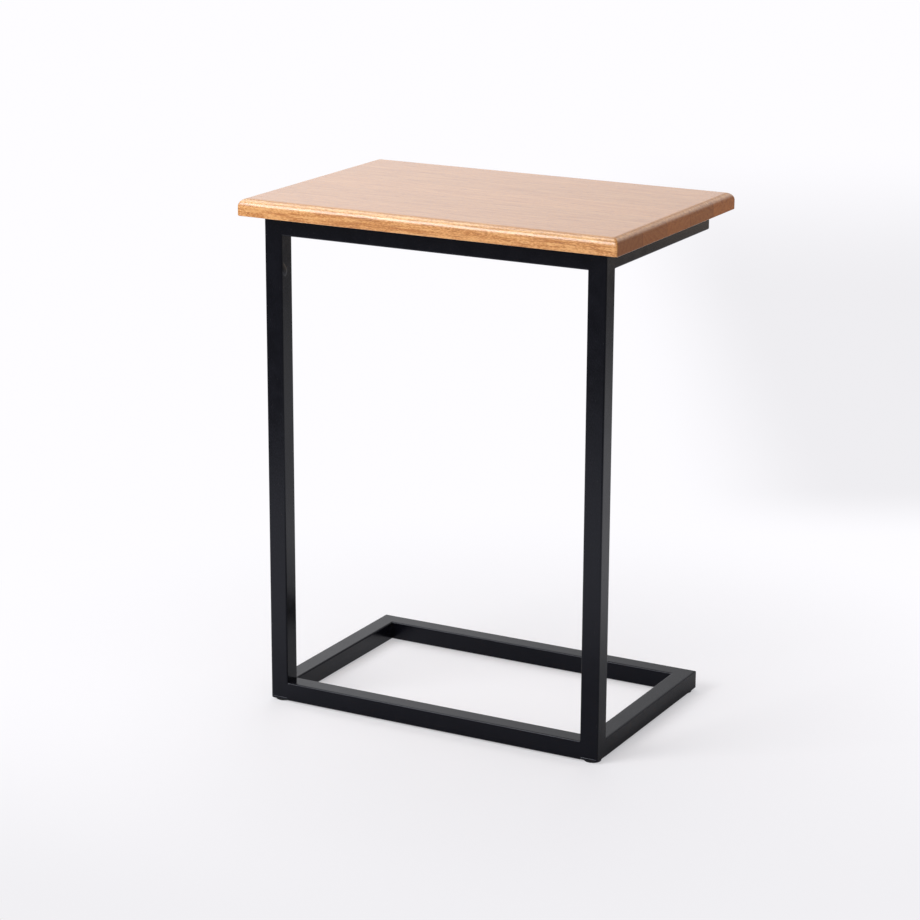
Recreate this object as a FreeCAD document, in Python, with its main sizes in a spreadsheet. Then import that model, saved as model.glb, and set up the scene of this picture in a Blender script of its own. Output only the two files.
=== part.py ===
"""C-shaped side table: a welded frame of square steel tube under an edge-glued wooden board.

Millimetres. The origin is on the floor under the middle of the table, +Z is up, +X runs along
the table's length and the two uprights stand at the front (-Y), so that the open side of the
C, where a sofa seat goes in, faces the back (+Y). Left and right are -X and +X.
"""
import FreeCAD, Part
import os
import Sketcher

doc = FreeCAD.newDocument("side_table")

# ---------------------------------------------------------------- driving dimensions
SIZES = (
    ("frame_length", 480, "steel frame, left to right over the tubes"),
    ("frame_depth", 306, "steel frame, front to back over the tubes"),
    ("frame_height", 652, "from the underside of the base tubes to the top of the top rails"),
    ("tube_size", 25, "outside width of the square tube"),
    ("tube_wall", 1.5, "wall of the square tube"),
    ("tube_corner", 2, "outside corner radius of the square tube"),
    ("plate_thickness", 4, "plate that closes the lower end of each upright"),
    ("plate_edge", 2.5, "radius ground along the plate's lower edge"),
    ("pad_diameter", 22, "round foot pad"),
    ("pad_thickness", 2, "the gap that the pads leave between tubes and floor"),
    ("pad_chamfer", 0.5, "chamfer around the pad's lower edge"),
    ("board_end_overhang", 25, "the board beyond the frame at its left and right end"),
    ("board_side_overhang", 24.5, "the board beyond the frame at the front and at the back"),
    ("board_thickness", 22, "board"),
    ("board_roundover", 10, "radius routed along the four top edges of the board"),
    ("board_arris", 1, "radius sanded along the four bottom edges of the board"),
    ("screw_diameter", 4.5, "thread of the wood screws that hold the board"),
    ("screw_length", 16, "wood screw, from under its head to its tip"),
    ("screw_tip", 3, "length of the screw's tapered tip"),
    ("screw_head", 8.5, "diameter of the screw's pan head"),
    ("screw_head_height", 3, "height of the screw's pan head"),
    ("screw_clearance", 0.25, "radial play of a screw in the rails and in its washer"),
    ("screw_spacing", 300, "between the two screws in the front rail, and in the back rail"),
    ("tip_clearance", 1, "depth of a pilot hole beyond the screw's tip"),
    ("washer_diameter", 10, "flat washer under each screw head"),
    ("washer_thickness", 1, "flat washer"),
    ("access_clearance", 0.5, "radial play of a washer in the hole it is passed up through"),
)

sheet = doc.addObject("Spreadsheet::Sheet", "Sizes")
for row, (name, value, meaning) in enumerate(SIZES, start=1):
    sheet.set(f"A{row}", name)
    sheet.set(f"B{row}", str(value))
    sheet.set(f"C{row}", meaning)
    sheet.setAlias(f"B{row}", name)
doc.recompute()

# ---------------------------------------------------------------- shared places, as formulas
TUBE_HALF = "Sizes.tube_size / 2"
OUTER_X = "Sizes.frame_length / 2"
OUTER_Y = "Sizes.frame_depth / 2"
INNER_X = "(Sizes.frame_length / 2 - Sizes.tube_size)"
INNER_Y = "(Sizes.frame_depth / 2 - Sizes.tube_size)"
SIDE_AXIS = "(Sizes.frame_length - Sizes.tube_size) / 2"
ROW_AXIS = "(Sizes.frame_depth - Sizes.tube_size) / 2"
FRAME_TOP = "Sizes.pad_thickness + Sizes.frame_height"
BASE_AXIS = f"Sizes.pad_thickness + {TUBE_HALF}"
TOP_AXIS = f"{FRAME_TOP} - {TUBE_HALF}"
FLAT_WIDTH = "(Sizes.tube_size - 2 * Sizes.tube_corner)"

# The board is glued up from equal staves, named from the front edge to the back edge.
STAVES = ("front_stave", "front_middle_stave", "middle_stave", "back_middle_stave", "back_stave")
BOARD_LENGTH = "(Sizes.frame_length + 2 * Sizes.board_end_overhang)"
BOARD_DEPTH = "(Sizes.frame_depth + 2 * Sizes.board_side_overhang)"
STAVE_WIDTH = f"{BOARD_DEPTH} / {len(STAVES)}"

# Screws stand on the tubes' axes: two in the front and two in the back rail, and in each side
# rail one under the middle of each stave next to the middle one. One quarter of them is listed,
# as (x, y). Each bears on the inside of a rail's upper wall, and is reached through a hole in the
# lower wall.
SCREW_POINTS = (
    ("Sizes.screw_spacing / 2", ROW_AXIS),
    (SIDE_AXIS, STAVE_WIDTH),
)
HOLE_DIAMETER = "(Sizes.screw_diameter + 2 * Sizes.screw_clearance)"
ACCESS_DIAMETER = "(Sizes.washer_diameter + 2 * Sizes.access_clearance)"
SCREW_BITE = "(Sizes.screw_length - Sizes.washer_thickness - Sizes.tube_wall)"


# ---------------------------------------------------------------- drawing and modelling helpers
def size_of(formula):
    """The present value of a formula over the sheet, as a plain number."""
    return float(sheet.evalExpression(formula))


def bind(item, **formulas):
    """Tie properties of an object to formulas over the sheet."""
    for path, formula in formulas.items():
        item.setExpression(path, formula)


def new_body(name):
    """An empty body that carries the name of its piece."""
    body = doc.addObject("PartDesign::Body", name)
    body.Label = name
    body.AllowCompound = True
    return body


def origin_plane(body, role):
    """One of the body's own origin planes, by its role."""
    return next(feature for feature in body.Origin.OriginFeatures if feature.Role == role)


def new_sketch(body, name, role):
    """A sketch on one of the body's origin planes."""
    sketch = body.newObject("Sketcher::SketchObject", name)
    sketch.AttachmentSupport = [(origin_plane(body, role), "")]
    sketch.MapMode = "FlatFace"
    return sketch


def hold_point(sketch, geometry, vertex, x_formula, y_formula):
    """Hold a point of the sketch at formula distances from the sketch's origin."""
    for kind, formula in (("DistanceX", x_formula), ("DistanceY", y_formula)):
        value = size_of(formula)
        index = sketch.addConstraint(Sketcher.Constraint(kind, -1, 1, geometry, vertex, value))
        sketch.setExpression(f"Constraints[{index}]", formula)


def draw_polygon(sketch, corners):
    """Draw a closed polygon through corners given as pairs of formulas."""
    points = [FreeCAD.Vector(size_of(x), size_of(y), 0) for x, y in corners]
    following = points[1:] + points[:1]
    sides = [sketch.addGeometry(Part.LineSegment(a, b)) for a, b in zip(points, following)]
    for side, next_side in zip(sides, sides[1:] + sides[:1]):
        sketch.addConstraint(Sketcher.Constraint("Coincident", side, 2, next_side, 1))
    for side, (x_formula, y_formula) in zip(sides, corners):
        hold_point(sketch, side, 1, x_formula, y_formula)


def draw_rectangle(sketch, x_low, x_high, y_low, y_high):
    """Draw a rectangle between four formulas."""
    draw_polygon(sketch, ((x_low, y_low), (x_high, y_low), (x_high, y_high), (x_low, y_high)))


def draw_square(sketch, width):
    """Draw a square of a formula's width about the sketch's origin."""
    draw_rectangle(sketch, f"-{width} / 2", f"{width} / 2", f"-{width} / 2", f"{width} / 2")


def draw_circle(sketch, x_formula, y_formula, diameter):
    """Draw a circle with a formula's diameter about a point given as two formulas."""
    centre = FreeCAD.Vector(size_of(x_formula), size_of(y_formula), 0)
    up = FreeCAD.Vector(0, 0, 1)
    circle = sketch.addGeometry(Part.Circle(centre, up, size_of(diameter) / 2))
    hold_point(sketch, circle, 3, x_formula, y_formula)
    index = sketch.addConstraint(Sketcher.Constraint("Diameter", circle, size_of(diameter)))
    sketch.setExpression(f"Constraints[{index}]", diameter)


def draw_corner_weld(sketch, x_formula, y_formula, x_leg, y_leg):
    """Draw a triangle whose right angle is at a point and whose legs may be negative."""
    draw_polygon(sketch, (
        (x_formula, y_formula),
        (f"{x_formula} + {x_leg}", y_formula),
        (x_formula, f"{y_formula} + {y_leg}"),
    ))


def add_feature(body, kind, name, sketch, length, symmetric=False, reverse=False):
    """A pad or a pocket of a sketch, one way or half to each side of the sketch."""
    feature = body.newObject(f"PartDesign::{kind}", name)
    feature.Profile = sketch
    feature.SideType = "Symmetric" if symmetric else "One side"
    feature.Reversed = reverse
    bind(feature, Length=length)
    body.Tip = feature
    doc.recompute()
    return feature


def edge_names(feature, wanted):
    """Names of the feature's edges whose middle point and direction satisfy the test."""
    names = []
    for number, edge in enumerate(feature.Shape.Edges, start=1):
        middle = edge.valueAt((edge.FirstParameter + edge.LastParameter) / 2)
        ends = edge.Vertexes[-1].Point - edge.Vertexes[0].Point
        if wanted(middle, ends):
            names.append(f"Edge{number}")
    return names


def dress_edges(body, kind, name, base, wanted, size):
    """Round or chamfer the chosen edges of the base feature."""
    feature = body.newObject(f"PartDesign::{kind}", name)
    feature.Base = (base, edge_names(base, wanted))
    bind(feature, **{"Radius" if kind == "Fillet" else "Size": size})
    body.Tip = feature
    doc.recompute()
    return feature


def mirror_whole(body, name, role):
    """Repeat all of the body on the other side of one of its origin planes."""
    mirror = body.newObject("PartDesign::Mirrored", name)
    mirror.TransformMode = "Whole shape"
    mirror.MirrorPlane = (origin_plane(body, role), [""])
    body.Tip = mirror
    doc.recompute()


def place(body, x_formula="0", y_formula="0", z_formula="0", axes=None):
    """Put a body at a point given as formulas, with its own X, Y and Z along the given axes."""
    if axes:
        directions = [FreeCAD.Vector(*axis) for axis in axes]
        body.Placement = FreeCAD.Placement(FreeCAD.Vector(), FreeCAD.Rotation(*directions, "ZXY"))
    body.setExpression("Placement.Base.x", x_formula)
    body.setExpression("Placement.Base.y", y_formula)
    body.setExpression("Placement.Base.z", z_formula)


def near(value, target):
    """True where a length equals another to well within a sheet's thickness."""
    return abs(value - target) < 0.01


# ---------------------------------------------------------------- square tubes of the frame
def square_tube(name, length, mitres=(), holes=()):
    """A hollow square tube along its own Z with rounded corners.

    Its own +X faces out of the frame and its own +Y faces up. A mitre at "low" or "high" leaves
    that end full length on the outer side. Holes are places along the tube where a screw passes
    through the upper wall, with a wider hole for the screwdriver below it.
    """
    body = new_body(name)
    section = new_sketch(body, f"{name}_section", "XY_Plane")
    draw_square(section, "Sizes.tube_size")
    blank = add_feature(body, "Pad", f"{name}_blank", section, length)

    def is_long_edge(middle, ends):
        return near(ends.x, 0) and near(ends.y, 0)

    dress_edges(body, "Fillet", f"{name}_corners", blank, is_long_edge, "Sizes.tube_corner")
    bore = new_sketch(body, f"{name}_bore_section", "XY_Plane")
    draw_square(bore, "(Sizes.tube_size - 2 * Sizes.tube_wall)")
    bored = add_feature(body, "Pocket", f"{name}_bore", bore, length, reverse=True)
    half_bore = size_of(f"{TUBE_HALF} - Sizes.tube_wall")

    def is_bore_corner(middle, ends):
        return near(abs(middle.x), half_bore) and near(abs(middle.y), half_bore)

    if size_of("Sizes.tube_corner - Sizes.tube_wall") > 0:
        dress_edges(body, "Fillet", f"{name}_bore_corners", bored, is_bore_corner,
                    "Sizes.tube_corner - Sizes.tube_wall")
    if mitres:
        cut = new_sketch(body, f"{name}_mitre_lines", "XZ_Plane")
        ends = {"low": ("0", "Sizes.tube_size"), "high": (length, f"{length} - Sizes.tube_size")}
        for end in mitres:
            tip, heel = ends[end]
            draw_polygon(cut, ((TUBE_HALF, tip), (f"-{TUBE_HALF}", tip), (f"-{TUBE_HALF}", heel)))
        add_feature(body, "Pocket", f"{name}_mitres", cut, "2 * Sizes.tube_size", symmetric=True)
    if holes:
        for wall, diameter in (("upper", HOLE_DIAMETER), ("lower", ACCESS_DIAMETER)):
            drill = new_sketch(body, f"{name}_{wall}_hole_centres", "XZ_Plane")
            for place_along in holes:
                draw_circle(drill, "0", place_along, diameter)
            add_feature(body, "Pocket", f"{name}_{wall}_holes", drill, "Sizes.tube_size",
                        reverse=(wall == "lower"))
    return body


# Directions of a tube's own X (out of the frame), Y (up) and Z (along the tube).
FRONT_AXES = ((0, -1, 0), (0, 0, 1), (-1, 0, 0))
BACK_AXES = ((0, 1, 0), (0, 0, 1), (1, 0, 0))
LEFT_AXES = ((-1, 0, 0), (0, 0, 1), (0, 1, 0))
RIGHT_AXES = ((1, 0, 0), (0, 0, 1), (0, -1, 0))

FRONT_LENGTH = "(Sizes.frame_length - 2 * Sizes.tube_size)"
SIDE_LENGTH = "(Sizes.frame_depth - Sizes.tube_size)"
BACK_LENGTH = "Sizes.frame_length"


def rectangle_of_tubes(front, back, left, right, height, drilled):
    """The three tubes that butt on the uprights and the back tube mitred to the side tubes."""
    half_spacing, stave_middle = SCREW_POINTS[0][0], SCREW_POINTS[1][1]
    front_holes = [f"{FRONT_LENGTH} / 2 {sign} {half_spacing}" for sign in "-+"]
    back_holes = [f"{BACK_LENGTH} / 2 {sign} {half_spacing}" for sign in "-+"]
    left_holes = [f"{INNER_Y} {sign} {stave_middle}" for sign in "-+"]
    right_holes = [f"{OUTER_Y} {sign} {stave_middle}" for sign in "-+"]
    tube = square_tube(front, FRONT_LENGTH, holes=front_holes if drilled else ())
    place(tube, INNER_X, f"-{ROW_AXIS}", height, FRONT_AXES)
    tube = square_tube(back, BACK_LENGTH, ("low", "high"), back_holes if drilled else ())
    place(tube, f"-{OUTER_X}", ROW_AXIS, height, BACK_AXES)
    tube = square_tube(left, SIDE_LENGTH, ("high",), left_holes if drilled else ())
    place(tube, f"-{SIDE_AXIS}", f"-{INNER_Y}", height, LEFT_AXES)
    tube = square_tube(right, SIDE_LENGTH, ("low",), right_holes if drilled else ())
    place(tube, SIDE_AXIS, OUTER_Y, height, RIGHT_AXES)


rectangle_of_tubes("base_front_tube", "base_back_tube", "base_left_tube", "base_right_tube",
                   BASE_AXIS, drilled=False)
rectangle_of_tubes("top_front_rail", "top_back_rail", "top_left_rail", "top_right_rail",
                   TOP_AXIS, drilled=True)

# ---------------------------------------------------------------- uprights and their end plates
for side, sign in (("left", "-"), ("right", "")):
    upright = square_tube(f"{side}_upright", "(Sizes.frame_height - Sizes.plate_thickness)")
    place(upright, f"{sign}{SIDE_AXIS}", f"-{ROW_AXIS}",
          "Sizes.pad_thickness + Sizes.plate_thickness")

    plate = new_body(f"{side}_upright_end_plate")
    outline = new_sketch(plate, f"{side}_plate_outline", "XY_Plane")
    draw_square(outline, "Sizes.tube_size")
    blank = add_feature(plate, "Pad", f"{side}_plate_blank", outline, "Sizes.plate_thickness")
    rounded = dress_edges(plate, "Fillet", f"{side}_plate_corners", blank,
                          lambda middle, ends: near(ends.x, 0) and near(ends.y, 0),
                          "Sizes.tube_corner")
    dress_edges(plate, "Fillet", f"{side}_plate_edge", rounded,
                lambda middle, ends: near(middle.z, 0), "Sizes.plate_edge")
    place(plate, f"{sign}{SIDE_AXIS}", f"-{ROW_AXIS}", "Sizes.pad_thickness")


# ---------------------------------------------------------------- welds
# Where a flat tube end meets the rounded corner of an upright, weld metal fills the groove and
# is ground flush. Its section is the triangle between the two faces and the rounded corner.
FLUSH_LEG = "(Sizes.tube_corner * (2 - sqrt(2)))"


def flush_welds(name, height):
    """Welds ground flush at the butt joints of one rectangle of tubes with the uprights."""
    body = new_body(name)
    sections = new_sketch(body, f"{name}_sections", "XY_Plane")
    draw_corner_weld(sections, f"-{INNER_X}", f"-{OUTER_Y}", f"-{FLUSH_LEG}", FLUSH_LEG)
    draw_corner_weld(sections, f"-{INNER_X}", f"-{INNER_Y}", f"-{FLUSH_LEG}", f"-{FLUSH_LEG}")
    draw_corner_weld(sections, f"-{OUTER_X}", f"-{INNER_Y}", FLUSH_LEG, f"-{FLUSH_LEG}")
    add_feature(body, "Pad", f"{name}_beads", sections, FLAT_WIDTH, symmetric=True)
    mirror_whole(body, f"{name}_right_side", "YZ_Plane")
    place(body, z_formula=height)


flush_welds("base_flush_welds", BASE_AXIS)
flush_welds("top_flush_welds", TOP_AXIS)

# ---------------------------------------------------------------- foot pads
for row_name, row_sign in (("front", "-"), ("back", "")):
    for side, side_sign in (("left", "-"), ("right", "")):
        name = f"{row_name}_{side}_foot_pad"
        pad = new_body(name)
        outline = new_sketch(pad, f"{name}_outline", "XY_Plane")
        draw_circle(outline, "0", "0", "Sizes.pad_diameter")
        disc = add_feature(pad, "Pad", f"{name}_disc", outline, "Sizes.pad_thickness")
        dress_edges(pad, "Chamfer", f"{name}_edge", disc,
                    lambda middle, ends: near(middle.z, 0), "Sizes.pad_chamfer")
        place(pad, f"{side_sign}{SIDE_AXIS}", f"{row_sign}{ROW_AXIS}")


# ---------------------------------------------------------------- board of edge-glued staves
def stave(name, number):
    """One stave, in the frame of the whole board: its underside is at its own z = 0."""
    body = new_body(name)
    outline = new_sketch(body, f"{name}_outline", "XY_Plane")
    front = f"{number} * {STAVE_WIDTH} - {BOARD_DEPTH} / 2"
    back = f"{number + 1} * {STAVE_WIDTH} - {BOARD_DEPTH} / 2"
    draw_rectangle(outline, f"-{BOARD_LENGTH} / 2", f"{BOARD_LENGTH} / 2", front, back)
    blank = add_feature(body, "Pad", f"{name}_blank", outline, "Sizes.board_thickness")
    half_length = size_of(f"{BOARD_LENGTH} / 2")
    half_depth = size_of(f"{BOARD_DEPTH} / 2")
    thickness = size_of("Sizes.board_thickness")

    def on_outside(middle):
        return near(abs(middle.x), half_length) or near(abs(middle.y), half_depth)

    rounded = dress_edges(body, "Fillet", f"{name}_roundover", blank,
                          lambda middle, ends: near(middle.z, thickness) and on_outside(middle),
                          "Sizes.board_roundover")
    dress_edges(body, "Fillet", f"{name}_arris", rounded,
                lambda middle, ends: near(middle.z, 0) and on_outside(middle),
                "Sizes.board_arris")
    drill = new_sketch(body, f"{name}_pilot_centres", "XY_Plane")
    for x_formula, y_formula in SCREW_POINTS:
        for x_sign in ("-", ""):
            for y_sign in ("-", ""):
                draw_circle(drill, f"{x_sign}{x_formula}", f"{y_sign}{y_formula}",
                            "Sizes.screw_diameter")
    add_feature(body, "Pocket", f"{name}_pilot_holes", drill,
                f"{SCREW_BITE} + Sizes.tip_clearance", reverse=True)
    place(body, z_formula=FRAME_TOP)


for number, name in enumerate(STAVES):
    stave(name, number)


# ---------------------------------------------------------------- screws and washers
def discs_at_screws(body, name, diameter, bore=None):
    """A sketch with one circle, or one ring, at each screw point of one quarter."""
    sketch = new_sketch(body, name, "XY_Plane")
    for x_formula, y_formula in SCREW_POINTS:
        draw_circle(sketch, x_formula, y_formula, diameter)
        if bore:
            draw_circle(sketch, x_formula, y_formula, bore)
    return sketch


# Their own z = 0 is the face between a washer and the head of its screw, which hangs below.
screws = new_body("board_screws")
heads = add_feature(screws, "Pad", "screw_heads",
                    discs_at_screws(screws, "screw_head_circles", "Sizes.screw_head"),
                    "Sizes.screw_head_height", reverse=True)
head_depth = size_of("Sizes.screw_head_height")
dress_edges(screws, "Fillet", "screw_head_domes", heads,
            lambda middle, ends: near(middle.z, -head_depth), "Sizes.screw_head_height / 2")
shanks = add_feature(screws, "Pad", "screw_shanks",
                     discs_at_screws(screws, "screw_shank_circles", "Sizes.screw_diameter"),
                     "Sizes.screw_length")
shank_length = size_of("Sizes.screw_length")
tips = screws.newObject("PartDesign::Chamfer", "screw_tips")
tips.Base = (shanks, edge_names(shanks, lambda middle, ends: near(middle.z, shank_length)))
tips.ChamferType = "Two distances"
tips.FlipDirection = True
bind(tips, Size="Sizes.screw_diameter / 3", Size2="Sizes.screw_tip")
screws.Tip = tips
doc.recompute()

washers = new_body("screw_washers")
add_feature(washers, "Pad", "washer_rings",
            discs_at_screws(washers, "washer_circles", "Sizes.washer_diameter", HOLE_DIAMETER),
            "Sizes.washer_thickness")

for body in (screws, washers):
    mirror_whole(body, f"{body.Name}_left_side", "YZ_Plane")
    mirror_whole(body, f"{body.Name}_other_row", "XZ_Plane")
    place(body, z_formula=f"{FRAME_TOP} - Sizes.tube_wall - Sizes.washer_thickness")

# ---------------------------------------------------------------- check and write every piece
doc.recompute()
for item in doc.Objects:
    if "Invalid" in item.State or "Error" in item.State:
        raise RuntimeError(f"{item.Label} did not compute: {item.State}")

os.makedirs("parts", exist_ok=True)
for body in doc.findObjects("PartDesign::Body"):
    if body.Shape.isNull() or not body.Shape.isValid() or not body.Shape.Solids:
        raise RuntimeError(f"{body.Label} has no valid solid")
    body.Shape.exportStep(f"parts/{body.Label}.step")
    print(body.Label, len(body.Shape.Solids), round(body.Shape.Volume, 1))
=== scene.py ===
"""Looks of the C-shaped side table: a black powder-coated steel frame under a lacquered board."""
import math

import bmesh
import bpy
from mathutils import Matrix, Vector


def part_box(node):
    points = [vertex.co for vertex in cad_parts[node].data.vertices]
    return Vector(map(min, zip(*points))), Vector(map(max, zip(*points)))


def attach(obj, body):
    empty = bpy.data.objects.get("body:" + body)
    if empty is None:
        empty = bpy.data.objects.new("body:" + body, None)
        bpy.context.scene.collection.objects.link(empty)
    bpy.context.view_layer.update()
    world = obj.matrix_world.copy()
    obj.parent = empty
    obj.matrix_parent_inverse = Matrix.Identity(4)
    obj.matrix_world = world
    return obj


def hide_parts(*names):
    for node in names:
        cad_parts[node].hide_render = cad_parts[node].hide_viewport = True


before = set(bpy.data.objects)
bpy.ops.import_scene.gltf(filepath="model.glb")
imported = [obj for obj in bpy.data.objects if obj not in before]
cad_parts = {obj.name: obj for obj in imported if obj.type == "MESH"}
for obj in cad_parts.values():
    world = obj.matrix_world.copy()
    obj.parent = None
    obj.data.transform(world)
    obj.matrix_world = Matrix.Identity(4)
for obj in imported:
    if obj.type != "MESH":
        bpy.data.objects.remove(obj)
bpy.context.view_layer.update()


# ------------------------------------------------------------------ frame of square steel tube
# Square steel tube, 25 mm wide with 2 mm corners, butted at the uprights, mitred at the back and
# welded. The whole frame is sprayed and baked in one semi-gloss black powder coat: its skin is
# finely pebbled, with a little mottling in its gloss and a rare pale dust grain under it.
COATED_NODES = (
    "left_upright", "right_upright",
    "base_front_tube", "base_back_tube", "base_left_tube", "base_right_tube",
    "top_front_rail", "top_back_rail", "top_left_rail", "top_right_rail",
)
COAT_BLACK = (0.0015, 0.0016, 0.0031, 1)
COAT_THIN = (0.0033, 0.0034, 0.0060, 1)
COAT_SHINE = (0.86, 0.89, 1.0, 1)
COAT_GLOSSIEST, COAT_DULLEST, COAT_SPECULAR = 0.15, 0.23, 0.3
PEBBLES_PER_METRE, PEBBLE_HEIGHT = 1500, 0.0002
WAVES_PER_METRE, WAVE_HEIGHT = 520, 0.0003
CLOUDS_PER_METRE = 45
DUST_GREY = (0.050, 0.050, 0.052, 1)
DUST_CELLS_PER_METRE, DUST_RARITY = 210, 0.88
DUST_GRAIN, DUST_HALO = 0.05, 0.09
NOISE_RANGE = (0.3, 0.7)


def start_finish(name):
    """A new node material, its node tree and its shader."""
    finish = bpy.data.materials.new(name)
    finish.use_nodes = True
    return finish, finish.node_tree, finish.node_tree.nodes["Principled BSDF"]


def plug_in(tree, socket, value):
    """Give a socket a value, or a link from a socket or from a node's first output."""
    if isinstance(value, bpy.types.Node):
        value = next(output for output in value.outputs if output.enabled)
    if isinstance(value, bpy.types.NodeSocket):
        tree.links.new(value, socket)
    else:
        socket.default_value = value


def add_node(tree, kind, *inputs, **settings):
    """A node whose inputs are given in order, or by a name with a capital letter.

    The names without a capital are the node's own settings.
    """
    prefixes = ("ShaderNode", "GeometryNode", "FunctionNode")
    if tree.bl_idname == "GeometryNodeTree":
        prefixes = ("GeometryNode", "FunctionNode", "ShaderNode")
    node = tree.nodes.new(next(p + kind for p in prefixes if hasattr(bpy.types, p + kind)))
    for name, value in settings.items():
        if not name[0].isupper():
            setattr(node, name, value)
    sockets = [socket for socket in node.inputs if socket.enabled]
    for socket, value in zip(sockets, inputs):
        plug_in(tree, socket, value)
    for name, value in settings.items():
        if name[0].isupper():
            label = name.replace("_", " ")
            plug_in(tree, next(socket for socket in sockets if socket.name == label), value)
    return node


def calculate(tree, operation, *values):
    """A Math node on two or three values."""
    return add_node(tree, "Math", *values, operation=operation)


def ramp(tree, value, *stops):
    """A colour ramp over a value, from stops given as (position, colour)."""
    node = add_node(tree, "ValToRGB", value)
    elements = node.color_ramp.elements
    while len(elements) < len(stops):
        elements.new(1)
    for element, (position, color) in zip(elements, stops):
        element.position = position
        element.color = color
    return node


def ease(tree, value, low, high, start=0.0, end=1.0):
    """A value that goes smoothly from start to end as another one goes from low to high."""
    return add_node(tree, "MapRange", value, low, high, start, end,
                    interpolation_type="SMOOTHSTEP")


def object_place(tree):
    """The place of a surface point in the table's own frame."""
    return add_node(tree, "TexCoord").outputs["Object"]


def noise(tree, place, per_metre, detail, roughness):
    """Fractal noise at a place, which seldom leaves NOISE_RANGE."""
    return add_node(tree, "TexNoise", Vector=place, Scale=per_metre, Detail=detail,
                    Roughness=roughness)


def powder_coat():
    """Semi-gloss black powder coat: pebbled skin, uneven gloss, faint mottling, dust grains."""
    finish, tree, shader = start_finish("black_powder_coat")
    place = object_place(tree)
    pebbles = noise(tree, place, PEBBLES_PER_METRE, detail=3, roughness=0.6)
    waves = noise(tree, place, WAVES_PER_METRE, detail=2, roughness=0.5)
    clouds = noise(tree, place, CLOUDS_PER_METRE, detail=5, roughness=0.65)
    mottle = ramp(tree, clouds, (0.30, COAT_BLACK), (0.75, COAT_THIN))
    grains = add_node(tree, "TexVoronoi", Vector=place, Scale=DUST_CELLS_PER_METRE)
    chance = add_node(tree, "SeparateColor", grains.outputs["Color"])
    rare = calculate(tree, "GREATER_THAN", chance, DUST_RARITY)
    spot = ease(tree, grains.outputs["Distance"], DUST_GRAIN, DUST_HALO, 1, 0)
    dust = calculate(tree, "MULTIPLY", rare, spot)
    plug_in(tree, shader.inputs["Base Color"],
            add_node(tree, "Mix", dust, mottle, DUST_GREY, data_type="RGBA"))
    plug_in(tree, shader.inputs["Roughness"],
            ease(tree, clouds, *NOISE_RANGE, COAT_GLOSSIEST, COAT_DULLEST))
    shader.inputs["Specular IOR Level"].default_value = COAT_SPECULAR
    shader.inputs["Specular Tint"].default_value = COAT_SHINE
    flow = add_node(tree, "Bump", Height=waves, Strength=0.25, Distance=WAVE_HEIGHT)
    skin = add_node(tree, "Bump", Height=pebbles, Normal=flow, Strength=0.15,
                    Distance=PEBBLE_HEIGHT)
    plug_in(tree, shader.inputs["Normal"], skin)
    return finish


coat = powder_coat()
for node in COATED_NODES:
    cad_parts[node].data.materials.clear()
    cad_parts[node].data.materials.append(coat)


# ------------------------------------------------------------------ welds ground flush
# Weld metal fills the groove between a butted tube end and the rounded corner of its upright. It
# is ground flush with the faces beside it, and a small pit stays where two rounded corners meet.
TUBE_CORNER = 0.002
PIT_DEPTH = 0.0012
WELD_STATIONS, WELD_ARC_STEPS = 9, 6
SMOOTH_ANGLE = math.radians(35)


def finish_piece(name, mesh, slot, *replaced, finish=None):
    """Make a mesh a piece of the table that rides on its body and stands for CAD nodes."""
    if finish:
        mesh.materials.clear()
        mesh.materials.append(finish)
    for polygon in mesh.polygons:
        polygon.use_smooth = True
    mesh.set_sharp_from_angle(angle=SMOOTH_ANGLE)
    piece = bpy.data.objects.new(name, mesh)
    bpy.context.scene.collection.objects.link(piece)
    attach(piece, "root")
    if replaced:
        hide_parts(*replaced)


def mesh_from(name, shape):
    """A mesh from a bmesh, with its faces turned outwards."""
    bmesh.ops.recalc_face_normals(shape, faces=shape.faces)
    mesh = bpy.data.meshes.new(name)
    shape.to_mesh(mesh)
    shape.free()
    return mesh


def stack_rings(shape, rings):
    """A closed skin over a stack of rings that have as many points each."""
    loops = [[shape.verts.new(point) for point in ring] for ring in rings]
    for low, high in zip(loops, loops[1:]):
        for index in range(len(low)):
            after = (index + 1) % len(low)
            shape.faces.new((low[index], low[after], high[after], high[index]))
    shape.faces.new(loops[0])
    shape.faces.new(loops[-1])


def weld_section(retreat):
    """Points (along the flush face, into the joint) around the weld where the tube's own rounded
    edge has retreated that far from the flush face."""
    start = math.acos(1 - retreat / TUBE_CORNER)
    points = [(0, retreat)]
    for step in range(WELD_ARC_STEPS + 1):
        turn = start + (math.pi / 2 - start) * step / WELD_ARC_STEPS
        points.append((TUBE_CORNER * (1 - math.sin(turn)), TUBE_CORNER * (1 - math.cos(turn))))
    return points


def add_weld(shape, corner, along, inward, middle, half_height):
    """One weld beside an upright's corner, over the height of the tube that butts there."""
    reach = half_height - PIT_DEPTH
    rings = []
    for station in range(WELD_STATIONS):
        rise = reach * (2 * station / (WELD_STATIONS - 1) - 1)
        past_flat = max(0.0, abs(rise) - (half_height - TUBE_CORNER))
        retreat = TUBE_CORNER - math.sqrt(TUBE_CORNER ** 2 - past_flat ** 2)
        rings.append([corner + along * s + inward * t + Vector((0, 0, middle + rise))
                      for s, t in weld_section(retreat)])
    stack_rings(shape, rings)


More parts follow.
